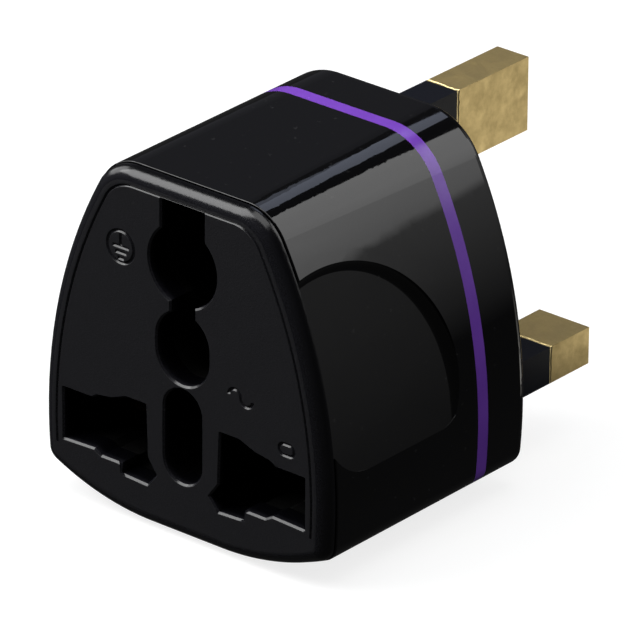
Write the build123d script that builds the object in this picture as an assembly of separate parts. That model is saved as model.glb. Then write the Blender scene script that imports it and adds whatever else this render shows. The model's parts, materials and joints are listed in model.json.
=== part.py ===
from build123d import *
import os
from math import hypot, sqrt

# Universal travel adapter: a socket face that takes several countries' plugs, a tapered case with
# an accent ring, and three rectangular pins. Millimetres, +Z up, pins towards +Y. The origin is
# under the middle of the whole object, on the surface that its flat foot stands on.

os.makedirs("parts", exist_ok=True)

# Depths along Y. "Depth" is always counted from the flat socket face.
BODY_DEPTH = 30.7  # socket face to pin face
EARTH_LENGTH = 20.0  # earth pin beyond the pin face
LINE_LENGTH = 15.0  # live and neutral pins beyond the pin face
FACE_Y = -(BODY_DEPTH + EARTH_LENGTH) / 2
BEZEL_DEPTH = 1.6  # the case starts here
GAP = 0.15  # visible gap between bezel and case
PLATE = 2.6  # thickness of the socket face
SKIRT_END = 8.0
RING_START = 23.0
RING_END = 24.55
BACK_WALL = 2.2
TONGUE = 1.5  # the ring's lip reaches this far into the parts on both sides
LIP_WALL = 0.7  # thickness of the lips inside the case

# The pins' pattern: two line pins side by side under the earth pin.
EARTH_Z = 31.3
LINE_X = 11.1
LINE_DROP = 22.2
LINE_Z = EARTH_Z - LINE_DROP
EARTH_SIZE = (4.0, 8.0)  # width, height
LINE_SIZE = (6.35, 4.0)
SLEEVE_LENGTH = 8.4  # insulated length beyond the pin face
SLEEVE_WALL = 0.5
PIN_BEVEL = 0.35

# The case's cross-section near its front and at its back: flat foot, slightly crowned bottom,
# bowed sides and a flat top, all joined by tangent arcs.
FRONT_SECTION = {"half_width": 18.3, "widest_z": 8.5, "top_z": 37.7, "top_radius": 5.3}
BACK_SECTION = {"half_width": 18.2, "widest_z": 9.3, "top_z": 38.2, "top_radius": 7.2}
SIDE_RADIUS = 54.6
BOTTOM_RADIUS = 29.2
BOTTOM_CORNER = 2.0
FOOT_HALF = 4.5
WALL = 1.5
FIT = 0.05  # clearance between parts that slide into each other when assembled
INNER = WALL + LIP_WALL + 2 * FIT  # everything inside the case stays this far from its outline
BACK_EDGE = 1.1

# The flat part of the socket face and the line engraved around it.
BEZEL_RADIUS = 1.45
SIDE_BEZEL = 1.65
TOP_BEZEL = 1.45
GROOVE_WIDTH = 0.36
GROOVE_DEPTH = 0.17
GROOVE_END_Z = 5.5
RIM = 0.2  # bevel round the socket openings

# The socket openings, as (width, height), and the plain marks engraved beside them.
EARTH_SLOT = (5.4, 6.4)
EARTH_HOLE_RADIUS = 4.27
NECK = (3.0, 3.4)
LOWER_HOLE = (6.6, 7.7)
CENTRE_SLOT = (4.76, 10.1)
MARK_LINE = 0.42  # width of the marks' strokes at the face
MARK_DEPTH = 0.15
EARTH_MARK_RADIUS = 1.9
EARTH_MARK_PLACE = (-7.85, EARTH_Z - 2.2)
WAVE_RADIUS = 0.75
WAVE_PLACE = (7.4, EARTH_Z - 13.6)
OVAL_MARK = (2.3, 1.6)
OVAL_PLACE = (13.2, EARTH_Z - 17.3)

# The thumb recesses in the sides of the case.
RECESS_TOP_Z = EARTH_Z + 1.3
RECESS_BOTTOM_Z = EARTH_Z - 20.0
RECESS_END = 22.0
RECESS_CENTRE = (4.4, EARTH_Z - 15.4)  # depth and z of the round end
RECESS_RADIUS = 16.2
RECESS_BOW = 0.2  # the floor bows outwards by this much
RECESS_LEAN = 0.25  # and leans inwards by this much at its top
RECESS_FRONT_CORNER = 6.0
RECESS_FAR_CORNER = 3.2
RECESS_EDGE = 1.2
CASE_EDGE = 0.12  # rounding of the case's front edge

# The contacts' place behind the face.
CONTACT_START = 9.8
CONTACT_GAP = 4.3
LEAF = 0.45
BARRIER = 1.0
BARRIER_DEPTH = BODY_DEPTH - 7.6
WEB_DEPTH = BARRIER_DEPTH - 0.8
FLANGE_DEPTH = BARRIER_DEPTH + BARRIER
FLANGE = 1.2
RIVET_X = 5.4
EARTH_RIVET_Z = EARTH_Z - 5.4
RIVET_RADIUS = 0.8
RIVET_HEAD = 1.15
STRAP = 0.4

# The cartridge fuse lies across the case, in a drawer that pulls out of the pin face.
FUSE_LENGTH = 25.4
FUSE_RADIUS = 3.175
FUSE_CAP = 6.0
FUSE_Z = EARTH_Z - 11.4
FUSE_DEPTH = BODY_DEPTH - 4.95
FUSE_BAY = FUSE_DEPTH - FUSE_RADIUS - 0.7  # the contact parts leave room behind this depth
DRAWER_SIZE = (28.0, 8.2)
DRAWER_PLATE = 1.6
DRAWER_GAP = 0.12

# Screws that hold the base to the socket face, one on each side of the earth pin.
SCREW_X = 8.4
SCREW_Z = EARTH_Z + 0.8
SCREW_RADIUS = 1.15
SCREW_HEAD_RADIUS = 2.2
SCREW_HEAD = 1.5
SCREW_TIP = 6.0
SCREW_SEAT = BODY_DEPTH - 3.5
BOSS_END = 14.0


def at(depth):
    """Y of a depth behind the socket face."""
    return FACE_Y + depth


def box(x, depth, z):
    """A box from its low and high x, depth and z."""
    low = (x[0], at(depth[0]), z[0])
    size = (x[1] - x[0], depth[1] - depth[0], z[1] - z[0])
    return Pos(*low) * Box(*size, align=(Align.MIN, Align.MIN, Align.MIN))


def rod(x, z, radius, depth):
    """A round bar along Y between two depths."""
    length = depth[1] - depth[0]
    middle = (x, at((depth[0] + depth[1]) / 2), z)
    return Pos(*middle) * Rot(90, 0, 0) * Cylinder(radius, length)


def prism(outline, depth):
    """Extrude a sketch, drawn with its Y as height, between two depths."""
    plane = Plane(origin=(0, at(depth[1]), 0), x_dir=(1, 0, 0), z_dir=(0, -1, 0))
    return extrude(plane * outline, depth[1] - depth[0])


def mirrored(shape):
    return mirror(shape, Plane.YZ)


def tangent_centre(a, radius_a, b, radius_b):
    """The right-hand meeting point of two circles, below their centres' line."""
    dx, dz = b[0] - a[0], b[1] - a[1]
    span = hypot(dx, dz)
    along = (radius_a**2 - radius_b**2 + span**2) / (2 * span)
    across = sqrt(radius_a**2 - along**2)
    foot = (a[0] + along * dx / span, a[1] + along * dz / span)
    points = [(foot[0] + s * across * dz / span, foot[1] - s * across * dx / span) for s in (1, -1)]
    return max(points)


def beyond(a, c, radius):
    """The point on circle c, of this radius, in line with centre a."""
    span = hypot(c[0] - a[0], c[1] - a[1])
    return (c[0] + radius * (c[0] - a[0]) / span, c[1] + radius * (c[1] - a[1]) / span)


def arc_middle(centre, radius, p, q):
    mid = ((p[0] + q[0]) / 2, (p[1] + q[1]) / 2)
    return beyond(centre, mid, radius - hypot(mid[0] - centre[0], mid[1] - centre[1]))


def outline(depth, side=0.0, top=None, bottom=None):
    """The case's closed outline at a depth, moved inwards by side, top and bottom."""
    top = side if top is None else top
    bottom = side if bottom is None else bottom
    along = (depth - BEZEL_DEPTH) / (BODY_DEPTH - BEZEL_DEPTH)
    mix = {k: FRONT_SECTION[k] + along * (BACK_SECTION[k] - FRONT_SECTION[k]) for k in FRONT_SECTION}
    side_radius = SIDE_RADIUS - side
    low_radius = max(BOTTOM_CORNER - side, 0.4)
    high_radius = mix["top_radius"] - side * 0.7
    side_centre = (mix["half_width"] - SIDE_RADIUS, mix["widest_z"])
    low_centre = (FOOT_HALF, BOTTOM_RADIUS)
    low_reach = BOTTOM_RADIUS - bottom - low_radius
    low = tangent_centre(low_centre, low_reach, side_centre, side_radius - low_radius)
    high_z = mix["top_z"] - top - high_radius
    reach = side_radius - high_radius
    high = (side_centre[0] + sqrt(reach**2 - (high_z - side_centre[1]) ** 2), high_z)
    points = [
        (FOOT_HALF, bottom),
        beyond(low_centre, low, low_radius),
        beyond(side_centre, low, low_radius),
        beyond(side_centre, high, high_radius),
        (high[0], mix["top_z"] - top),
    ]
    centres = [low_centre, low, side_centre, high]
    radii = [BOTTOM_RADIUS - bottom, low_radius, side_radius, high_radius]
    right = [
        (p, arc_middle(c, r, p, q), q)
        for c, r, p, q in zip(centres, radii, points[:-1], points[1:])
    ]
    y = at(depth)
    edges = [Line((-FOOT_HALF, y, bottom), (FOOT_HALF, y, bottom))]
    edges += [ThreePointArc(*[(x, y, z) for x, z in arc]) for arc in right]
    edges += [Line((points[-1][0], y, points[-1][1]), (-points[-1][0], y, points[-1][1]))]
    edges += [ThreePointArc(*[(-x, y, z) for x, z in reversed(arc)]) for arc in reversed(right)]
    return Wire(edges)


def block(start, end, inset=0.0):
    """The solid inside the case's outline between two depths, moved inwards by inset."""
    return Solid.make_loft([outline(start, inset), outline(end, inset)], True)


def tube(start, end, outer=0.0, inner=WALL):
    return block(start, end, outer) - block(start - 0.01, end + 0.01, inner)


def upright_slot(size, grow):
    """Round-ended slot from its (width, height), grown all round."""
    return SlotOverall(size[1] + 2 * grow, size[0] + 2 * grow, rotation=90)


def earth_opening(grow=0.0):
    """Slot for a flat earth pin, large round hole, neck and smaller round hole, top to bottom."""
    slot = Pos(0, EARTH_Z + 1.2) * Rectangle(EARTH_SLOT[0] + 2 * grow, EARTH_SLOT[1] + 2 * grow)
    large = Pos(0, EARTH_Z - 2.0) * Circle(EARTH_HOLE_RADIUS + grow)
    neck = Pos(0, EARTH_Z - 7.0) * Rectangle(NECK[0] + 2 * grow, NECK[1])
    return slot + large + neck + Pos(0, EARTH_Z - 10.75) * upright_slot(LOWER_HOLE, grow)


def centre_slot(grow=0.0):
    """Upright round-ended slot between the line openings."""
    return Pos(0, EARTH_Z - 20.15) * upright_slot(CENTRE_SLOT, grow)


def line_opening(grow=0.0):
    """Opening for round pins, flat and slanted blades and a rectangular pin, right-hand side."""
    corners = [
        (4.8, -18.2),
        (7.2, -18.2),
        (9.2, -18.95),
        (11.0, -19.2),
        (11.8, -19.65),
        (15.4, -19.65),
        (15.4, -25.15),
        (11.4, -25.0),
        (10.5, -25.5),
        (7.9, -25.5),
        (7.8, -26.6),
        (4.6, -26.75),
        (3.45, -25.4),
        (4.6, -23.8),
    ]
    face = make_face(Polyline(*[(x, EARTH_Z + z) for x, z in corners], close=True))
    return offset(face, grow) if grow else face


def openings(grow=0.0):
    right = line_opening(grow)
    return [earth_opening(grow), centre_slot(grow), right, mirror(right, Plane.YZ)]


def outer_edges(shape, depth):
    """The outer edges of a shape's flat face at this depth."""
    face = [f for f in shape.faces() if abs(f.center().Y - at(depth)) < 0.01][0]
    return face.outer_wire().edges()


def bezel():
    """Front part of the socket face, level with the case, with a rounded edge all round."""
    plate = block(0, BEZEL_DEPTH, GAP)
    return fillet(outer_edges(plate, 0), BEZEL_RADIUS)


def face_groove():
    """V-shaped line round the flat face, open at the bottom."""
    half = GROOVE_WIDTH / 2

    def ring(shift, depth):
        inset = GAP + shift
        return outline(depth, SIDE_BEZEL + inset, TOP_BEZEL + inset, TOP_BEZEL + inset)

    above = -0.02
    outer = Solid.make_loft([ring(0, above), ring(half, GROOVE_DEPTH)], True)
    inner = Solid.make_loft([ring(2 * half, above), ring(half + 0.01, GROOVE_DEPTH)], True)
    reach = box((-25, 25), (-1, 1), (GROOVE_END_Z, 60))
    return (outer - inner) & reach


def engraved(shape, depth=MARK_DEPTH):
    """Cutter that has this outline at the face and narrows at 45 degrees behind it."""
    face = Plane(origin=(0, FACE_Y, 0), x_dir=(1, 0, 0), z_dir=(0, -1, 0)) * shape
    return extrude(face, amount=depth, dir=(0, 1, 0), taper=45)


def half_ring(x, side):
    """Half of a small ring, above (side 1) or below (side -1) its centre line."""
    ring = Circle(WAVE_RADIUS + MARK_LINE / 2) - Circle(WAVE_RADIUS - MARK_LINE / 2)
    return Pos(x, 0) * (ring & (Pos(0, side) * Rectangle(4, 2)))


def marks():
    """Plain engraved marks: earth symbol, a wave for alternating current and a small oval."""
    earth = Pos(*EARTH_MARK_PLACE)
    circle = Circle(EARTH_MARK_RADIUS) - Circle(EARTH_MARK_RADIUS - MARK_LINE)
    strokes = [circle, Pos(0, 0.75) * Rectangle(MARK_LINE, 1.5)]
    for width, height in ((2.1, 0.0), (1.45, -0.62), (0.8, -1.24)):
        strokes.append(Pos(0, height) * Rectangle(width, MARK_LINE))
    wave = half_ring(-WAVE_RADIUS, 1) + half_ring(WAVE_RADIUS, -1)
    wide, tall = OVAL_MARK
    oval = SlotOverall(wide, tall) - SlotOverall(wide - 2 * MARK_LINE, tall - 2 * MARK_LINE)
    cutters = [engraved(earth * stroke) for stroke in strokes]
    return cutters + [engraved(Pos(*WAVE_PLACE) * wave), engraved(Pos(*OVAL_PLACE) * oval)]


def make_socket_face():
    body = bezel()
    body += block(BEZEL_DEPTH, PLATE, WALL + FIT)
    body += tube(PLATE, SKIRT_END, WALL + FIT, INNER - FIT)
    for x in (-SCREW_X, SCREW_X):
        body += rod(x, SCREW_Z, 2.3, (PLATE, BOSS_END)) & block(PLATE, BOSS_END, WALL + 2 * FIT)
        body -= rod(x, SCREW_Z, SCREW_RADIUS, (PLATE + 1.0, BOSS_END + 1))
    step = block(BEZEL_DEPTH - GAP, BEZEL_DEPTH, -1) - block(BEZEL_DEPTH - 1, BEZEL_DEPTH + 1, 0.9)
    body -= step
    for hole in openings():
        body -= prism(hole, (-1, SKIRT_END + 1))
    for hole in openings(RIM):
        body -= engraved(hole, RIM)
    body -= face_groove()
    for mark in marks():
        body -= mark
    return body


def thumb_recess():
    """Cutter for the gently bowed D-shaped thumb recess on the right side, with a rounded far wall."""
    start = BEZEL_DEPTH - 1.0

    def section(depth):
        y = at(depth)
        low = (side_x(depth, RECESS_BOTTOM_Z), y, RECESS_BOTTOM_Z)
        high = (side_x(depth, RECESS_TOP_Z) - RECESS_LEAN, y, RECESS_TOP_Z)
        middle = ((low[0] + high[0]) / 2 + RECESS_BOW, y, (RECESS_BOTTOM_Z + RECESS_TOP_Z) / 2)
        floor = ThreePointArc(low, middle, high)
        rest = Polyline(high, (30.0, y, RECESS_TOP_Z), (30.0, y, RECESS_BOTTOM_Z), low)
        return Wire([*floor.edges(), *rest.edges()])

    depth, z = RECESS_CENTRE
    round_end = Pos(18, at(depth), z) * Rot(0, 90, 0) * Cylinder(RECESS_RADIUS, 40)
    cutter = Solid.make_loft([section(start), section(RECESS_END)], True) & round_end
    curved = [e for e in cutter.edges() if e.geom_type != GeomType.LINE]
    cutter = fillet(min(curved, key=lambda e: e.center().X), RECESS_EDGE)
    corners = box((5, 30), (start, depth + RECESS_RADIUS), (RECESS_BOTTOM_Z, RECESS_TOP_Z + 1))
    far = corners.edges().filter_by(Axis.X).group_by(Axis.Z)[0].sort_by(Axis.Y)[-1]
    corners = fillet(far, RECESS_FAR_CORNER)
    front = corners.edges().filter_by(Axis.X).group_by(Axis.Z)[0].sort_by(Axis.Y)[0]
    return cutter & fillet(front, RECESS_FRONT_CORNER)


def side_x(depth, z):
    """Half width of the case at a depth and height, on its bowed side."""
    along = (depth - BEZEL_DEPTH) / (BODY_DEPTH - BEZEL_DEPTH)
    half = FRONT_SECTION["half_width"] * (1 - along) + BACK_SECTION["half_width"] * along
    middle = FRONT_SECTION["widest_z"] * (1 - along) + BACK_SECTION["widest_z"] * along
    return half - SIDE_RADIUS + sqrt(SIDE_RADIUS**2 - (z - middle) ** 2)


def make_front_shell():
    shell = tube(BEZEL_DEPTH, RING_START)
    shell = fillet(outer_edges(shell, BEZEL_DEPTH), CASE_EDGE)
    cutter = thumb_recess()
    return shell - cutter - mirrored(cutter)


def make_accent_ring():
    tongue = tube(RING_START - TONGUE, RING_END + TONGUE, WALL + FIT, INNER - FIT)
    return tube(RING_START, RING_END, 0, INNER - FIT) + tongue


def drawer_opening(grow):
    width, height = DRAWER_SIZE[0] / 2 + grow, DRAWER_SIZE[1] / 2 + grow
    return (-width, width), (FUSE_Z - height, FUSE_Z + height)


def pin_places():
    """x, z and (width, height) of each pin, by name."""
    return {
        "earth": (0.0, EARTH_Z, EARTH_SIZE),
        "live": (LINE_X, LINE_Z, LINE_SIZE),
        "neutral": (-LINE_X, LINE_Z, LINE_SIZE),
    }


def bar(x, z, size, depth, grow=0.0):
    """A rectangular bar along Y."""
    half_w, half_h = size[0] / 2 + grow, size[1] / 2 + grow
    return box((x - half_w, x + half_w), depth, (z - half_h, z + half_h))


def make_rear_base():
    plate_depth = BODY_DEPTH - BACK_WALL
    base = block(RING_END, BODY_DEPTH)
    base = fillet(outer_edges(base, BODY_DEPTH), BACK_EDGE)
    base -= block(RING_END - 0.01, plate_depth, WALL)
    lip = FLANGE_DEPTH + FLANGE
    clear_of_ring = block(BOSS_END, plate_depth, INNER)
    for x, z, size in pin_places().values():
        base += bar(x, z, size, (lip, plate_depth), 1.1) & clear_of_ring
    for x in (-SCREW_X, SCREW_X):
        base += rod(x, SCREW_Z, 2.9, (BOSS_END, plate_depth)) & clear_of_ring
    wide, tall = drawer_opening(DRAWER_GAP + 1.0)
    base += box(wide, (lip + FIT, plate_depth), tall) & clear_of_ring
    wide, tall = drawer_opening(DRAWER_GAP)
    base -= box(wide, (RING_END - 1, BODY_DEPTH + 1), tall)
    for x, z, size in pin_places().values():
        base -= bar(x, z, size, (lip - 1, BODY_DEPTH + 1))
    for x in (-SCREW_X, SCREW_X):
        base -= rod(x, SCREW_Z, SCREW_RADIUS + 0.2, (BOSS_END - 1, SCREW_SEAT + 1))
        base -= rod(x, SCREW_Z, SCREW_HEAD_RADIUS + 0.3, (SCREW_SEAT, BODY_DEPTH + 1))
    notch_x = (DRAWER_SIZE[0] / 2, DRAWER_SIZE[0] / 2 + 1.6)
    notch = box(notch_x, (BODY_DEPTH - 0.9, BODY_DEPTH + 1), (FUSE_Z - 1.5, FUSE_Z + 1.5))
    return base - notch


def make_contact_carrier():
    outer = box((-17, 17), (PLATE, BARRIER_DEPTH), (EARTH_Z - 28.4, EARTH_Z - 16.6))
    outer += box((-5.4, 5.4), (PLATE, BARRIER_DEPTH), (EARTH_Z - 17, EARTH_Z + 5.2))
    outer &= block(PLATE, BARRIER_DEPTH, INNER)
    for hole in openings(0.2):
        outer -= prism(hole, (PLATE - 1, CONTACT_START - 0.3))
    chamber = (CONTACT_START - 0.4, BARRIER_DEPTH + 1)
    for side in (-1, 1):
        x = sorted((side * 3.9, side * 15.5))
        outer -= box(x, chamber, (LINE_Z - 3.8, LINE_Z + 3.8))
    shallow = (CONTACT_START - 0.4, FUSE_BAY - 1.0)
    outer -= box((-2.75, 2.75), chamber, (EARTH_Z - 25.2, EARTH_Z - 17.2))
    outer -= box((-2.75, 2.75), shallow, (EARTH_Z - 25.2, EARTH_Z - 6.5))
    outer -= box((-4.5, 4.5), shallow, (EARTH_Z - 14.6, EARTH_Z + 3.5))
    outer -= box((-4.5, 4.5), chamber, (EARTH_Z - 6.6, EARTH_Z + 3.5))
    return outer - box((-6, 6), (FUSE_BAY, BARRIER_DEPTH + 1), (EARTH_Z - 15.9, EARTH_Z - 6.9))


def make_line_barrier():
    plate = box((-16.4, 16.4), (BARRIER_DEPTH, FLANGE_DEPTH), (EARTH_Z - 28.0, EARTH_Z - 16.0))
    plate &= block(BARRIER_DEPTH, FLANGE_DEPTH, INNER)
    for x in (-RIVET_X, RIVET_X):
        plate -= rod(x, LINE_Z, RIVET_RADIUS, (BARRIER_DEPTH - 1, FLANGE_DEPTH + 1))
    return plate


def make_earth_barrier():
    plate = box((-5.3, 5.3), (BARRIER_DEPTH, FLANGE_DEPTH), (EARTH_Z - 6.9, EARTH_Z + 4.1))
    return plate - rod(0, EARTH_RIVET_Z, RIVET_RADIUS, (BARRIER_DEPTH - 1, FLANGE_DEPTH + 1))


def make_pin(x, z, size, length, flange):
    """Flange inside the base, a neck inside the sleeve, and the bare full-size end."""
    neck = (FLANGE_DEPTH, BODY_DEPTH + SLEEVE_LENGTH)
    tip = (BODY_DEPTH + SLEEVE_LENGTH, BODY_DEPTH + length)
    head = bar(x, z, size, tip)
    head = chamfer(outer_edges(head, tip[1]), PIN_BEVEL)
    low_x, high_x, low_z, high_z = flange
    foot = box((low_x, high_x), (FLANGE_DEPTH, FLANGE_DEPTH + FLANGE), (low_z, high_z))
    return head + bar(x, z, size, neck, -SLEEVE_WALL) + foot


def make_earth_pin():
    flange = (-3.2, 3.2, EARTH_Z - 6.6, EARTH_Z + 4.1)
    pin = make_pin(0, EARTH_Z, EARTH_SIZE, EARTH_LENGTH, flange)
    return pin - rod(0, EARTH_RIVET_Z, RIVET_RADIUS, (BARRIER_DEPTH, FLANGE_DEPTH + FLANGE + 1))


def make_live_pin():
    half = LINE_SIZE[0] / 2
    flange = (LINE_X - half, LINE_X + half, LINE_Z - 3.5, LINE_Z + 3.5)
    return make_pin(LINE_X, LINE_Z, LINE_SIZE, LINE_LENGTH, flange)


def make_neutral_pin():
    flange = (-LINE_X - LINE_SIZE[0] / 2, -RIVET_X + 1.2, LINE_Z - 3.5, LINE_Z + 3.5)
    pin = make_pin(-LINE_X, LINE_Z, LINE_SIZE, LINE_LENGTH, flange)
    hole = (BARRIER_DEPTH, FLANGE_DEPTH + FLANGE + 1)
    return pin - rod(-RIVET_X, LINE_Z, RIVET_RADIUS, hole)


def make_sleeve(x, z, size):
    depth = (FLANGE_DEPTH + FLANGE, BODY_DEPTH + SLEEVE_LENGTH)
    longer = (depth[0] - 1, depth[1] + 1)
    return bar(x, z, size, depth) - bar(x, z, size, longer, -SLEEVE_WALL)


def make_line_leaf(side, up):
    """One sprung leaf: flared mouth, straight run and a web with the rivet hole."""
    z = LINE_Z + up * CONTACT_GAP / 2
    mouth = CONTACT_START + 1.4
    web = WEB_DEPTH if up > 0 else WEB_DEPTH + STRAP
    profile = Polyline(
        (at(CONTACT_START), z + up * 0.5),
        (at(mouth), z),
        (at(web), z),
        (at(web), LINE_Z - up * 2.0),
        (at(web + STRAP), LINE_Z - up * 2.0),
        (at(web + STRAP), z + up * LEAF),
        (at(mouth), z + up * LEAF),
        (at(CONTACT_START), z + up * (0.5 + LEAF)),
        close=True,
    )
    low_x, high_x = sorted((side * 4.2, side * 15.2))
    sheet = extrude(Plane.YZ * make_face(profile), high_x - low_x)
    hole = rod(side * RIVET_X, LINE_Z, RIVET_RADIUS, (WEB_DEPTH - 1, BARRIER_DEPTH + 1))
    return Pos(low_x, 0, 0) * sheet - hole


def make_earth_leaf(side):
    """One upright leaf beside all the earth openings, with a web at the top for the rivet."""
    inner, outer = CONTACT_GAP / 2, CONTACT_GAP / 2 + LEAF
    x = sorted((side * inner, side * outer))
    web = WEB_DEPTH if side < 0 else WEB_DEPTH + STRAP
    short = FUSE_BAY - 1.3
    leaf = box(x, (CONTACT_START, short), (EARTH_Z - 24.8, EARTH_Z + 3.2))
    leaf += box(x, (short, web), (EARTH_Z - 6.4, EARTH_Z + 3.2))
    leaf += box(sorted((side * outer, -side * 1.9)), (web, web + STRAP), (EARTH_Z - 6.4, EARTH_Z - 2))
    return leaf - rod(0, EARTH_RIVET_Z, RIVET_RADIUS, (WEB_DEPTH - 1, BARRIER_DEPTH + 1))


def make_rivets():
    """Head in the chamber, shank through the webs and barrier to the part behind."""
    deep = FLANGE_DEPTH + FLANGE
    places = [(0, EARTH_RIVET_Z, deep), (-RIVET_X, LINE_Z, deep), (RIVET_X, LINE_Z, FLANGE_DEPTH + STRAP)]
    rivets = []
    for x, z, end in places:
        head = rod(x, z, RIVET_HEAD, (WEB_DEPTH - 0.5, WEB_DEPTH))
        rivets.append(head + rod(x, z, RIVET_RADIUS, (WEB_DEPTH, end)))
    rivets[-1] += rod(RIVET_X, LINE_Z, RIVET_HEAD, (FLANGE_DEPTH + STRAP, FLANGE_DEPTH + STRAP + 0.4))
    return Compound(children=rivets)


def make_live_link():
    """Strap from the live contact's rivet across to the fuse clip on the other side."""
    depth = (FLANGE_DEPTH, FLANGE_DEPTH + STRAP)
    across = box((-11.8, RIVET_X + 1.3), depth, (EARTH_Z - 17.9, EARTH_Z - 16.1))
    down = box((RIVET_X - 1.3, RIVET_X + 1.3), depth, (LINE_Z - 1.4, EARTH_Z - 17))
    return across + down - rod(RIVET_X, LINE_Z, RIVET_RADIUS, (FLANGE_DEPTH - 1, FLANGE_DEPTH + 1))


def make_fuse_clip(x, foot_z):
    """U-shaped clip round the fuse's cap, with a tail down to the part it feeds."""
    reach = FUSE_RADIUS + 0.08
    low_z, high_z = FUSE_Z - reach - STRAP, FUSE_Z + reach + STRAP
    base = (FUSE_DEPTH - FUSE_RADIUS - 0.55, FUSE_DEPTH - FUSE_RADIUS - 0.15)
    arm = (base[0], FUSE_DEPTH + 1.8)
    clip = box(x, base, (low_z, high_z))
    clip += box(x, arm, (high_z - STRAP, high_z))
    clip += box(x, arm, (low_z, low_z + STRAP))
    return clip + box(x, (FLANGE_DEPTH, FLANGE_DEPTH + STRAP), (foot_z, low_z + STRAP))


def make_fuse_carrier():
    """Drawer: front plate flush with the pin face, end cheeks and a saddle for the fuse."""
    half_w, half_h = DRAWER_SIZE[0] / 2, DRAWER_SIZE[1] / 2
    front = BODY_DEPTH - DRAWER_PLATE
    inside = (FUSE_DEPTH - 2.2, front)
    drawer = box((-half_w, half_w), (front, BODY_DEPTH), (FUSE_Z - half_h, FUSE_Z + half_h))
    for side in (-1, 1):
        cheek = sorted((side * (FUSE_LENGTH / 2 + 0.15), side * (half_w - 0.3)))
        drawer += box(cheek, inside, (FUSE_Z - 3.4, FUSE_Z + 3.4))
        arm = sorted((FUSE_Z + side * (FUSE_RADIUS + 0.1), FUSE_Z + side * (half_h - 0.15)))
        drawer += box((-5.8, 5.8), inside, arm)
    drawer += box((-5.8, 5.8), (FUSE_DEPTH, front), (FUSE_Z - 3.4, FUSE_Z + 3.4))
    bore = Pos(0, at(FUSE_DEPTH), FUSE_Z) * Rot(0, 90, 0) * Cylinder(FUSE_RADIUS + 0.02, FUSE_LENGTH)
    grip_depth = (BODY_DEPTH - 0.5, BODY_DEPTH + 1)
    grip = box((half_w - 2.2, half_w - 0.8), grip_depth, (FUSE_Z - 1.2, FUSE_Z + 1.2))
    return drawer - bore - grip


def fuse_rod(radius, x):
    middle = (x[0] + x[1]) / 2
    return Pos(middle, at(FUSE_DEPTH), FUSE_Z) * Rot(0, 90, 0) * Cylinder(radius, x[1] - x[0])


def make_fuse_tube():
    end = FUSE_LENGTH / 2 - 0.5
    return fuse_rod(FUSE_RADIUS - 0.3, (-end, end)) - fuse_rod(1.6, (-end - 1, end + 1))


def make_fuse_cap(side):
    outer = sorted((side * FUSE_LENGTH / 2, side * (FUSE_LENGTH / 2 - FUSE_CAP)))
    inner = sorted((side * (FUSE_LENGTH / 2 - 0.5), side * (FUSE_LENGTH / 2 - FUSE_CAP - 1)))
    return fuse_rod(FUSE_RADIUS, outer) - fuse_rod(FUSE_RADIUS - 0.3, inner)


def make_screws():
    """Pan-head screws with a cross recess, driven from the pin face."""
    screws = []
    for x in (-SCREW_X, SCREW_X):
        top = SCREW_SEAT + SCREW_HEAD
        screw = rod(x, SCREW_Z, SCREW_HEAD_RADIUS, (SCREW_SEAT, top))
        screw = chamfer(screw.edges().group_by(Axis.Y)[-1], 0.4)
        screw += rod(x, SCREW_Z, SCREW_RADIUS, (SCREW_TIP, SCREW_SEAT))
        for half_w, half_h in ((1.3, 0.3), (0.3, 1.3)):
            slot_x, slot_z = (x - half_w, x + half_w), (SCREW_Z - half_h, SCREW_Z + half_h)
            screw -= box(slot_x, (top - 0.8, top + 1), slot_z)
        screws.append(screw)
    return Compound(children=screws)


PIN_PLACES = pin_places()
right_clip = (LINE_X - LINE_SIZE[0] / 2, LINE_X + 0.9)
left_clip = (-11.8, -7.4)

parts = {
    "socket_face": make_socket_face(),
    "front_shell": make_front_shell(),
    "accent_ring": make_accent_ring(),
    "rear_base": make_rear_base(),
    "contact_carrier": make_contact_carrier(),
    "line_barrier": make_line_barrier(),
    "earth_barrier": make_earth_barrier(),
    "earth_pin": make_earth_pin(),
    "live_pin": make_live_pin(),
    "neutral_pin": make_neutral_pin(),
    "earth_contact_left": make_earth_leaf(-1),
    "earth_contact_right": make_earth_leaf(1),
    "live_contact_upper": make_line_leaf(1, 1),
    "live_contact_lower": make_line_leaf(1, -1),
    "neutral_contact_upper": make_line_leaf(-1, 1),
    "neutral_contact_lower": make_line_leaf(-1, -1),
    "contact_rivets": make_rivets(),
    "live_link": make_live_link(),
    "fuse_clip_supply": make_fuse_clip(right_clip, LINE_Z + 3.5),
    "fuse_clip_load": make_fuse_clip(left_clip, EARTH_Z - 16.1),
    "fuse_carrier": make_fuse_carrier(),
    "fuse_tube": make_fuse_tube(),
    "fuse_cap_left": make_fuse_cap(-1),
    "fuse_cap_right": make_fuse_cap(1),
    "case_screws": make_screws(),
}
for name, place in PIN_PLACES.items():
    parts[name + "_pin_sleeve"] = make_sleeve(*place)

for name, shape in parts.items():
    export_step(shape, f"parts/{name}.step")
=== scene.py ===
import bpy
import json
from math import cos, pi, radians, sin
from mathutils import Matrix, Vector


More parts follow.
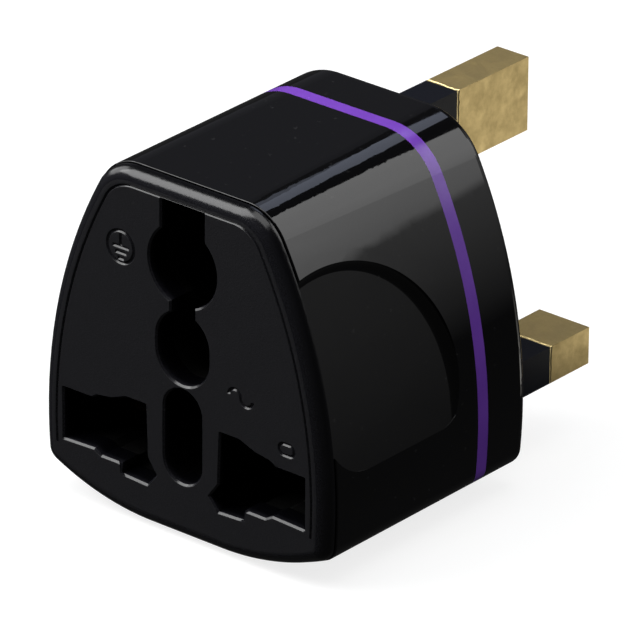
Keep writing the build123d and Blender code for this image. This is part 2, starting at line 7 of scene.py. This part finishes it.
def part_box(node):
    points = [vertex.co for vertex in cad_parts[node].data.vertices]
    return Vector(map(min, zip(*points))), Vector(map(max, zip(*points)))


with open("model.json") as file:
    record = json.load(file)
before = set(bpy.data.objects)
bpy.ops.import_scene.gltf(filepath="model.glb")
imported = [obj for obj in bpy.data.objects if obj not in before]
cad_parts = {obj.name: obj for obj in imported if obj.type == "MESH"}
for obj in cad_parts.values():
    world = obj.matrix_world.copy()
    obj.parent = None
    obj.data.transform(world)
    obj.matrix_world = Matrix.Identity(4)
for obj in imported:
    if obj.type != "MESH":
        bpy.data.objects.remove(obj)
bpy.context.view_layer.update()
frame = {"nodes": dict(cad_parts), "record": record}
nodes = frame["nodes"]
scene = bpy.context.scene
scene.view_settings.view_transform = "Standard"

face_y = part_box("socket_face")[0].y
earth_low, earth_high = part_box("earth_pin_sleeve")
earth_z = (earth_low.z + earth_high.z) / 2
sleeve_end = earth_high.y


# ---------------------------------------------------------------- shader helpers

class Shader:
    """A node material with one Principled surface and short calls for its procedural detail."""

    def __init__(self, name, **sockets):
        self.material = bpy.data.materials.new(name)
        self.material.use_nodes = True
        self.tree = self.material.node_tree
        self.surface = self.tree.nodes["Principled BSDF"]
        self.set(**sockets)
        self.where = self.add("ShaderNodeTexCoord").outputs["Object"]

    def set(self, **sockets):
        for name, value in sockets.items():
            socket = self.surface.inputs[name.replace("_", " ")]
            if isinstance(value, bpy.types.NodeSocket):
                self.tree.links.new(value, socket)
            else:
                socket.default_value = value

    def add(self, kind, inputs=None, **settings):
        node = self.tree.nodes.new(kind)
        for name, value in settings.items():
            setattr(node, name, value)
        for name, value in (inputs or {}).items():
            if isinstance(value, bpy.types.NodeSocket):
                self.tree.links.new(value, node.inputs[name])
            else:
                node.inputs[name].default_value = value
        return node

    def noise(self, scale, detail=2.0, rough=0.5, stretch=None):
        where = self.where
        if stretch:
            where = self.add("ShaderNodeMapping", {"Vector": where, "Scale": stretch}).outputs[0]
        inputs = {"Vector": where, "Scale": scale, "Detail": detail, "Roughness": rough}
        return self.add("ShaderNodeTexNoise", inputs).outputs["Fac"]

    def span(self, value, low, high, to_low=0.0, to_high=1.0):
        """Map a value from one span to another, clamped."""
        names = ("Value", "From Min", "From Max", "To Min", "To Max")
        inputs = dict(zip(names, (value, low, high, to_low, to_high)))
        return self.add("ShaderNodeMapRange", inputs).outputs[0]

    def sum(self, a, b):
        return self.add("ShaderNodeMath", {0: a, 1: b}, operation="ADD").outputs[0]

    def mix(self, fac, a, b):
        node = self.add("ShaderNodeMix", data_type="RGBA")
        for index, value in ((0, fac), (6, a), (7, b)):
            if isinstance(value, bpy.types.NodeSocket):
                self.tree.links.new(value, node.inputs[index])
            else:
                node.inputs[index].default_value = value
        return node.outputs[2]

    def axis(self, letter):
        parts = self.add("ShaderNodeSeparateXYZ", {"Vector": self.where})
        return parts.outputs[letter]

    def bump(self, height, distance, strength=1.0):
        inputs = {"Height": height, "Distance": distance, "Strength": strength}
        self.set(Normal=self.add("ShaderNodeBump", inputs).outputs[0])
        return self


def grey(value, blue=0.0):
    return (value, value, value + blue, 1.0)


# ---------------------------------------------------------------- materials

def face_plastic():
    """Matte grained plastic on the flat face, satin on the round edge; colour goes near black with
    depth behind the face plane, painted shade on the rolled edge and in the openings.
    """
    s = Shader("face_plastic", IOR=1.5)
    depth = s.axis("Y")
    flat = s.span(depth, face_y + 0.00001, face_y + 0.00003, 1.0, 0.0)
    grain = s.noise(5200, 3.0, 0.6)
    dark, light = (0.0105, 0.0105, 0.0133, 1), (0.0165, 0.0165, 0.0205, 1)
    pigment = s.mix(s.span(grain, 0.35, 0.7), dark, light)
    dust = s.span(s.noise(1500, 2.0), 0.7, 0.78, 0.0, 0.35)
    pigment = s.mix(dust, pigment, grey(0.06))
    # Painted shade: deeper than the face plane the colour goes near black, on the rolled edge and
    # on the walls inside the openings.
    pigment = s.mix(s.span(depth, face_y + 0.0002, face_y + 0.0009), pigment, grey(0.002, 0.001))
    s.set(Base_Color=pigment)
    s.set(Roughness=s.span(flat, 0.0, 1.0, 0.2, 0.6))
    return s.bump(grain, 0.00004, s.span(flat, 0.0, 1.0, 0.02, 0.8)).material


def gloss_black(name):
    """Polished moulded plastic: faint unevenness and handling marks."""
    s = Shader(name, IOR=1.5)
    dust = s.span(s.noise(1300, 2.0), 0.7, 0.78, 0.0, 0.3)
    s.set(Base_Color=s.mix(dust, grey(0.0015, 0.0005), grey(0.05)))
    marks = s.noise(900, 6.0, 0.65)
    s.set(Roughness=s.span(marks, 0.35, 0.8, 0.03, 0.09))
    return s.bump(s.noise(90, 1.0), 0.00003, 0.03).material


def ring_plastic():
    """Satin purple plastic, slightly cloudy."""
    s = Shader("ring_plastic", IOR=1.5)
    cloud = s.noise(160, 3.0)
    violet, paler = (0.165, 0.049, 0.45, 1), (0.195, 0.061, 0.51, 1)
    s.set(Base_Color=s.mix(s.span(cloud, 0.35, 0.65), violet, paler))
    s.set(Roughness=s.span(s.noise(900, 4.0), 0.3, 0.8, 0.14, 0.3))
    return s.bump(s.noise(300, 1.0), 0.00003, 0.3).material


def sleeve_plastic():
    """Dull bluish black plastic."""
    s = Shader("sleeve_plastic", IOR=1.5, Specular_IOR_Level=0.1)
    grain = s.noise(3800, 3.0, 0.6)
    s.set(Base_Color=s.mix(grain, (0.005, 0.0056, 0.0085, 1), (0.008, 0.009, 0.0135, 1)))
    s.set(Roughness=s.span(grain, 0.3, 0.7, 0.28, 0.4))
    return s.bump(grain, 0.00003, 0.25).material


def inner_plastic(name, low, high):
    """Unpolished plastic of the parts inside, between two colours."""
    s = Shader(name, IOR=1.5, Specular_IOR_Level=0.3)
    grain = s.noise(1800, 4.0, 0.6)
    s.set(Base_Color=s.mix(grain, low, high))
    s.set(Roughness=s.span(grain, 0.3, 0.7, 0.45, 0.65))
    return s.bump(grain, 0.00004, 0.3).material


def laminate():
    """Brown pressed sheet with fibres across it."""
    s = Shader("barrier_plastic", IOR=1.5)
    fibre = s.noise(900, 6.0, 0.7, stretch=(0.15, 1.0, 1.0))
    s.set(Base_Color=s.mix(s.span(fibre, 0.3, 0.7), (0.24, 0.11, 0.05, 1), (0.4, 0.2, 0.1, 1)))
    s.set(Roughness=s.span(fibre, 0.3, 0.7, 0.4, 0.6))
    return s.bump(fibre, 0.00004, 0.4).material


def pin_brass():
    """Drawn brass: fine lines along the pin, cloudy tarnish and a bright rim beside the sleeve."""
    rim_start, rim_end, wander = 0.00025, 0.00045, 0.0002
    s = Shader("pin_brass", Metallic=1.0)
    cloud = s.noise(750, 7.0, 0.7)
    drawn = s.noise(1500, 3.0, 0.6, stretch=(1.0, 0.06, 1.0))
    tone = s.mix(s.span(cloud, 0.3, 0.72), (0.68, 0.52, 0.225, 1), (0.85, 0.66, 0.305, 1))
    along = s.sum(s.axis("Y"), s.span(s.noise(900, 2.0), 0.3, 0.7, 0.0, wander))
    rim = s.span(along, sleeve_end + rim_start, sleeve_end + rim_end)
    s.set(Base_Color=s.mix(rim, (1.0, 0.82, 0.42, 1), tone))
    s.set(Roughness=s.span(cloud, 0.3, 0.75, 0.5, 0.36))
    return s.bump(s.sum(rim, s.span(drawn, 0.0, 1.0, 0.0, 0.05)), 0.00015).material


def contact_brass():
    """Rolled sheet brass, smoother than the pins."""
    s = Shader("contact_brass", Metallic=1.0)
    cloud = s.noise(700, 5.0)
    s.set(Base_Color=s.mix(cloud, (0.62, 0.43, 0.19, 1), (0.86, 0.64, 0.32, 1)))
    s.set(Roughness=s.span(cloud, 0.3, 0.75, 0.22, 0.42))
    return s.bump(s.noise(1800, 2.0, stretch=(1.0, 0.1, 1.0)), 0.00002, 0.2).material


def plated(name, tone, low, high):
    """Plated metal with fine turning marks."""
    s = Shader(name, Metallic=1.0)
    turned = s.noise(2600, 3.0, 0.6, stretch=(1.0, 0.2, 1.0))
    s.set(Base_Color=s.mix(turned, grey(tone * 0.85), grey(tone)))
    s.set(Roughness=s.span(turned, 0.3, 0.7, low, high))
    return s.bump(turned, 0.00002, 0.15).material


def ceramic():
    """Glazed off-white ceramic with a few darker specks."""
    s = Shader("fuse_body", IOR=1.5, Coat_Weight=0.6, Coat_Roughness=0.08)
    speckle = s.noise(1300, 4.0, 0.7)
    body, spot = (0.82, 0.79, 0.72, 1), (0.66, 0.62, 0.54, 1)
    s.set(Base_Color=s.mix(s.span(speckle, 0.55, 0.72), body, spot))
    s.set(Roughness=s.span(speckle, 0.3, 0.7, 0.3, 0.45))
    return s.bump(s.noise(260, 2.0), 0.00004, 0.3).material


materials = {
    "face_plastic": face_plastic(),
    "shell_plastic": gloss_black("shell_plastic"),
    "base_plastic": gloss_black("base_plastic"),
    "drawer_plastic": gloss_black("drawer_plastic"),
    "ring_plastic": ring_plastic(),
    "sleeve_plastic": sleeve_plastic(),
    "carrier_plastic": inner_plastic("carrier_plastic", grey(0.002), grey(0.005)),
    "barrier_plastic": laminate(),
    "pin_brass": pin_brass(),
    "contact_brass": contact_brass(),
    "fuse_body": ceramic(),
    "fuse_cap_metal": plated("fuse_cap_metal", 0.82, 0.08, 0.2),
    "screw_steel": plated("screw_steel", 0.55, 0.25, 0.4),
}
for entry in frame["record"]["subparts"]:
    part = nodes[entry["node"]]
    part.data.materials.clear()
    part.data.materials.append(materials[entry["material_slot"]])


# ---------------------------------------------------------------- floor, light and camera

side_top = Vector((0.015, -0.008, 0.033))  # upper part of the right side, where most lights point
corner = Vector((0.007, 0.0, 0.035))  # edge between the top and the right side


def direction(azimuth, elevation):
    """Unit vector; azimuth in degrees from +Y towards +X."""
    az, el = radians(azimuth), radians(elevation)
    return Vector((sin(az) * cos(el), cos(az) * cos(el), sin(el)))


def sideways(out):
    """Unit vectors across and up from a line of sight."""
    side = out.cross(Vector((0, 0, 1))).normalized()
    return side, side.cross(out)


def softbox(name, toward, distance, across, up, radiance, tint=(1, 1, 1), aim=side_top):
    """Area light that fills a window of sight lines, given as tangents from its centre line."""
    out = direction(*toward)
    side, over = sideways(out)
    middle = out + side * (across[0] + across[1]) / 2 + over * (up[0] + up[1]) / 2
    light = bpy.data.lights.new(name, "AREA")
    light.shape = "RECTANGLE"
    light.size = distance * (across[1] - across[0])
    light.size_y = distance * (up[1] - up[0])
    light.energy = radiance * pi * light.size * light.size_y
    light.color = tint
    lamp = bpy.data.objects.new(name, light)
    scene.collection.objects.link(lamp)
    turn = Matrix((side, over, out)).transposed().to_4x4()
    lamp.matrix_world = Matrix.Translation(aim + middle * distance) @ turn
    lamp.visible_camera = False
    return lamp


def emission_material(name, strength, diffuse=0.0):
    """Shining white surface; diffuse is how much of the light on it it also returns."""
    made = bpy.data.materials.new(name)
    made.use_nodes = True
    surface = made.node_tree.nodes["Principled BSDF"]
    surface.inputs["Base Color"].default_value = grey(diffuse)
    surface.inputs["Specular IOR Level"].default_value = 0.0
    surface.inputs["Emission Color"].default_value = (1, 1, 1, 1)
    surface.inputs["Emission Strength"].default_value = strength
    return made


def stage_mesh(name, verts, faces, material):
    """Stage surface that neither lights nor mirrors in the object."""
    mesh = bpy.data.meshes.new(name)
    mesh.from_pydata(verts, [], faces)
    mesh.materials.append(material)
    made = bpy.data.objects.new(name, mesh)
    scene.collection.objects.link(made)
    made.visible_glossy = False
    made.visible_diffuse = False
    made.visible_transmission = False
    return made


def side_window():
    """Bright card at the right whose light fades towards its lower edge."""
    out = direction(45, 28)
    side, over = sideways(out)
    left, right, low, high = -0.44, 0.2, -0.35, 0.45
    spots = [(left, low), (right, low), (right, high), (left, high)]
    verts = [side_top + (out + side * across + over * up) * 0.4 for across, up in spots]
    made = emission_material("side_window", 2.35)
    links = made.node_tree.links
    surface = made.node_tree.nodes["Principled BSDF"]
    place = made.node_tree.nodes.new("ShaderNodeTexCoord")
    parts = made.node_tree.nodes.new("ShaderNodeSeparateXYZ")
    fade = made.node_tree.nodes.new("ShaderNodeValToRGB")
    links.new(place.outputs["Generated"], parts.inputs[0])
    links.new(parts.outputs["Z"], fade.inputs[0])
    links.new(fade.outputs["Color"], surface.inputs["Emission Color"])
    fade.color_ramp.elements[0].color = grey(0.18)
    fade.color_ramp.elements[1].position = 0.42
    for up, level in ((-0.32, 0.58), (-0.25, 0.72), (-0.15, 0.92)):
        fade.color_ramp.elements.new((up - low) / (high - low)).color = grey(level)
    card = stage_mesh("side_window", verts, [(0, 1, 2, 3)], made)
    card.visible_camera = False
    card.visible_shadow = False
    card.visible_glossy = True
    card.visible_diffuse = True


# Every light: where it stands, how far off, its width and height as tangents, and its radiance.
cool, warm = (0.88, 0.96, 1.2), (1.0, 0.97, 0.9)
side_window()
softbox("corner_strip", (-11, 45), 0.25, (-0.21, 0.045), (-0.065, 0.3), 1.15, cool, corner)
softbox("corner_strip_wing", (-11, 45), 0.25, (-0.36, -0.21), (-0.045, 0.3), 0.6, cool, corner)
softbox("top_glow", (-42, 24), 0.5, (-0.3, 0.25), (-0.3, 0.17), 0.055, (0.95, 0.97, 1.15))
softbox("key", (-127, 46), 0.4, (-0.35, 0.34), (-0.38, 0.5), 5.0)
softbox("overhead", (90, 82), 0.4, (-0.4, 0.4), (-0.35, 0.35), 2.2)
softbox("left_window", (-95, 25), 0.5, (-0.3, 0.3), (-0.3, 0.3), 2.4)
earth_bounce = softbox("earth_pin_bounce", (32, -27), 0.075, (-0.3, 0.3), (-0.2, 0.2), 0.071, warm,
                       Vector((0.002, 0.02, earth_z)))
live_bounce = softbox("live_pin_bounce", (32, -27), 0.03, (-0.3, 0.3), (-0.2, 0.2), 0.0195, warm,
                      Vector((0.014, 0.017, 0.0145)))
earth_bounce.data.spread = radians(36)
live_bounce.data.spread = radians(26)

# Dim surroundings with a soft low glow behind the right side.
world = bpy.data.worlds.new("studio")
scene.world = world
world.use_nodes = True
tree = world.node_tree
sky = tree.nodes["Background"]
sight = tree.nodes.new("ShaderNodeTexCoord")
towards_side = tree.nodes.new("ShaderNodeVectorMath")
towards_side.operation = "DOT_PRODUCT"
towards_side.inputs[1].default_value = direction(25, 0)
tree.links.new(sight.outputs["Generated"], towards_side.inputs[0])
height = tree.nodes.new("ShaderNodeSeparateXYZ")
tree.links.new(sight.outputs["Generated"], height.inputs[0])
glow_side = tree.nodes.new("ShaderNodeMapRange")
glow_height = tree.nodes.new("ShaderNodeMapRange")
for node, source, values in (
    (glow_side, towards_side.outputs["Value"], (0.82, 0.93, 0.0, 1.0)),
    (glow_height, height.outputs["Z"], (-0.19, 0.15, 0.0, 0.45)),
):
    tree.links.new(source, node.inputs["Value"])
    for name, value in zip(("From Min", "From Max", "To Min", "To Max"), values):
        node.inputs[name].default_value = value
glow = tree.nodes.new("ShaderNodeMath")
glow.operation = "MULTIPLY_ADD"
tree.links.new(glow_side.outputs[0], glow.inputs[0])
tree.links.new(glow_height.outputs[0], glow.inputs[1])
glow.inputs[2].default_value = 0.035
sky.inputs["Color"].default_value = (1.0, 1.0, 1.0, 1.0)
tree.links.new(glow.outputs[0], sky.inputs["Strength"])


# Pale floor with a soft contact shadow, and a pale backdrop far away behind it.
wide, wall_radius, wall_height = 3.0, 2.9, 2.5
floor_corners = [(-wide, -wide, 0), (wide, -wide, 0), (wide, wide, 0), (-wide, wide, 0)]
stage_mesh("floor", floor_corners, [(0, 1, 2, 3)], emission_material("pale_floor", 0.8, 0.3))
ring = [(wall_radius * cos(radians(a)), wall_radius * sin(radians(a))) for a in range(0, 360, 6)]
count = len(ring)
wall = stage_mesh(
    "backdrop",
    [(x, y, -0.01) for x, y in ring] + [(x, y, wall_height) for x, y in ring],
    [(i, (i + 1) % count, count + (i + 1) % count, count + i) for i in range(count)],
    emission_material("pale_backdrop", 1.0),
)
wall.visible_shadow = False

# Long lens from the front right and above, very slightly rolled.
camera = bpy.data.objects.new("camera", bpy.data.cameras.new("camera"))
scene.collection.objects.link(camera)
scene.camera = camera
sight_az, sight_el, tilt = radians(39.948), radians(25.367), radians(0.377)
target = Vector((0.002205, -0.00735, 0.017938))
back = Vector((sin(sight_az) * cos(sight_el), -cos(sight_az) * cos(sight_el), sin(sight_el)))
level = Vector((cos(sight_az), sin(sight_az), 0))
rise = back.cross(level)
right = level * cos(tilt) + rise * sin(tilt)
upward = rise * cos(tilt) - level * sin(tilt)
distance = 0.79765
turn = Matrix((right, upward, back)).transposed().to_4x4()
camera.matrix_world = Matrix.Translation(target + back * distance) @ turn
camera.data.sensor_width = 36.0
camera.data.lens = 459.0
camera.data.clip_start = 0.01
camera.data.clip_end = 20.0
